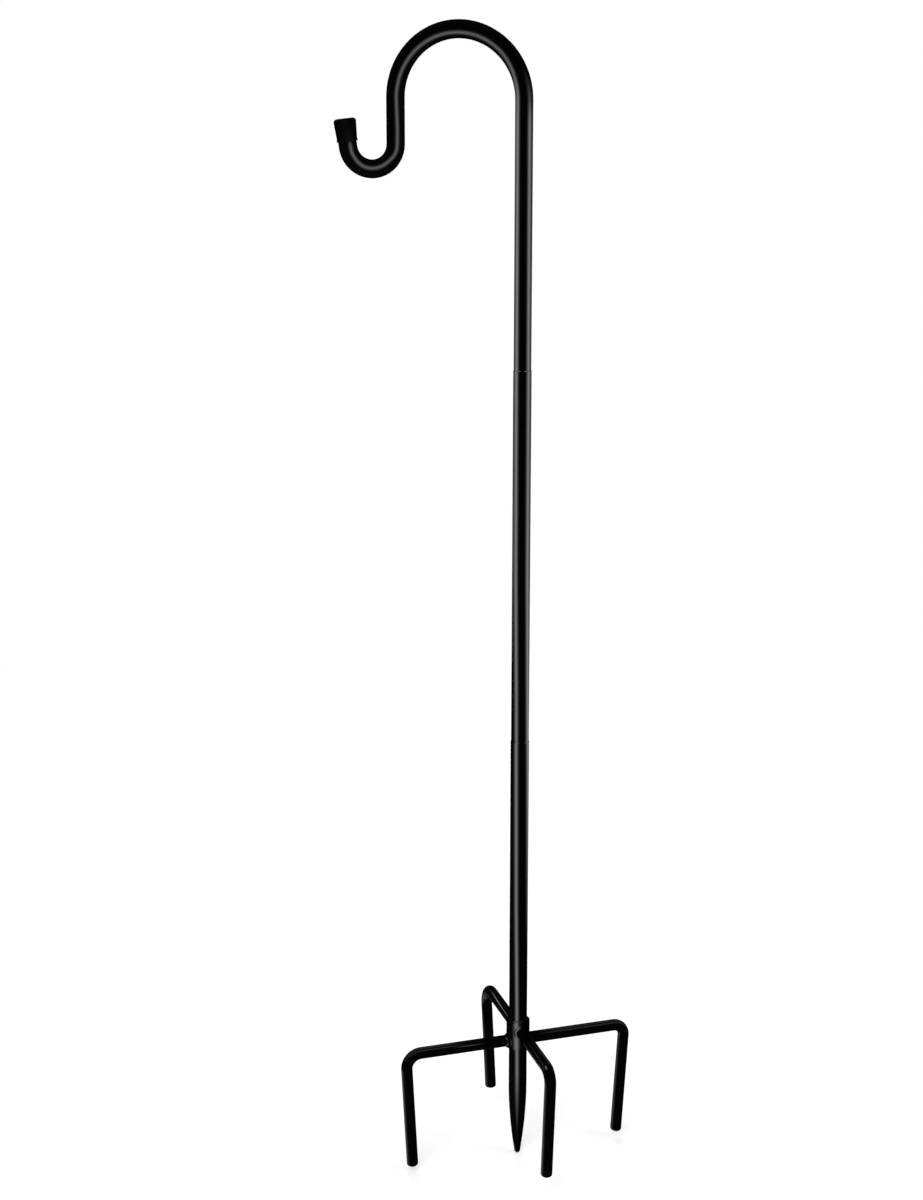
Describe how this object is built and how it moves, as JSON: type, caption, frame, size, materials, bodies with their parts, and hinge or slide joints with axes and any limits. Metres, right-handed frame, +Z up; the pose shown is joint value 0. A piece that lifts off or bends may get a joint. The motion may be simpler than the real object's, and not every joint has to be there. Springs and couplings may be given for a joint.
{
  "type": "shepherds hook",
  "caption": "Garden shepherd's hook: a tubular pole in screwed sections with a round crook and a capped tip, on a ground spike with a cross of bent prongs.",
  "frame": {"origin": "on the pole's axis at the soil line, which is the underside of the collar", "axes": "+Z up the pole, -X towards the crook's hook, X along the lower prong rod, Y along the upper one"},
  "size_m": [0.3053, 0.2154, 1.143],
  "materials": {
    "black_enamel": "gloss black enamel with a fine orange peel",
    "black_rubber": "matte moulded rubber",
    "zinc_plated_steel": "bright zinc plate on a cut thread",
    "bush_steel": "turned steel with a dull oiled face"
  },
  "bodies": {
    "stake": {"ground_stake_tube": "black_enamel", "prong_collar": "black_enamel", "collar_top_weld": "black_enamel", "lower_prong_rod": "black_enamel", "upper_prong_rod": "black_enamel", "prong_weld_beads": "black_enamel", "stake_top_bush": "bush_steel"},
    "lower_stud": {"lower_joint_stud": "zinc_plated_steel"},
    "middle": {"middle_bottom_bush": "bush_steel", "middle_pole_tube": "black_enamel", "middle_top_bush": "bush_steel"},
    "upper_stud": {"upper_joint_stud": "zinc_plated_steel"},
    "crook": {"crook_bottom_bush": "bush_steel", "crook_tube": "black_enamel", "hook_tip_cap": "black_rubber"}
  },
  "joints": [
    {"name": "lower_stud_rise", "type": "slide", "parent": "stake", "child": "lower_stud", "axis": [0, 0, 1], "range_m": [0, 0.015]},
    {"name": "middle_unscrew", "type": "hinge", "parent": "lower_stud", "child": "middle", "pos_m": [0, 0, 0.33], "axis": [0, 0, 1], "range_deg": [0, 3600]},
    {"name": "upper_stud_rise", "type": "slide", "parent": "middle", "child": "upper_stud", "axis": [0, 0, 1], "range_m": [0, 0.015]},
    {"name": "crook_unscrew", "type": "hinge", "parent": "upper_stud", "child": "crook", "pos_m": [0, 0, 0.7], "axis": [0, 0, 1], "range_deg": [0, 3600]}
  ],
  "couplings": [
    {"joint": "middle_unscrew", "follows": "lower_stud_rise", "rad_per_m": 4188.8},
    {"joint": "crook_unscrew", "follows": "upper_stud_rise", "rad_per_m": 4188.8}
  ]
}
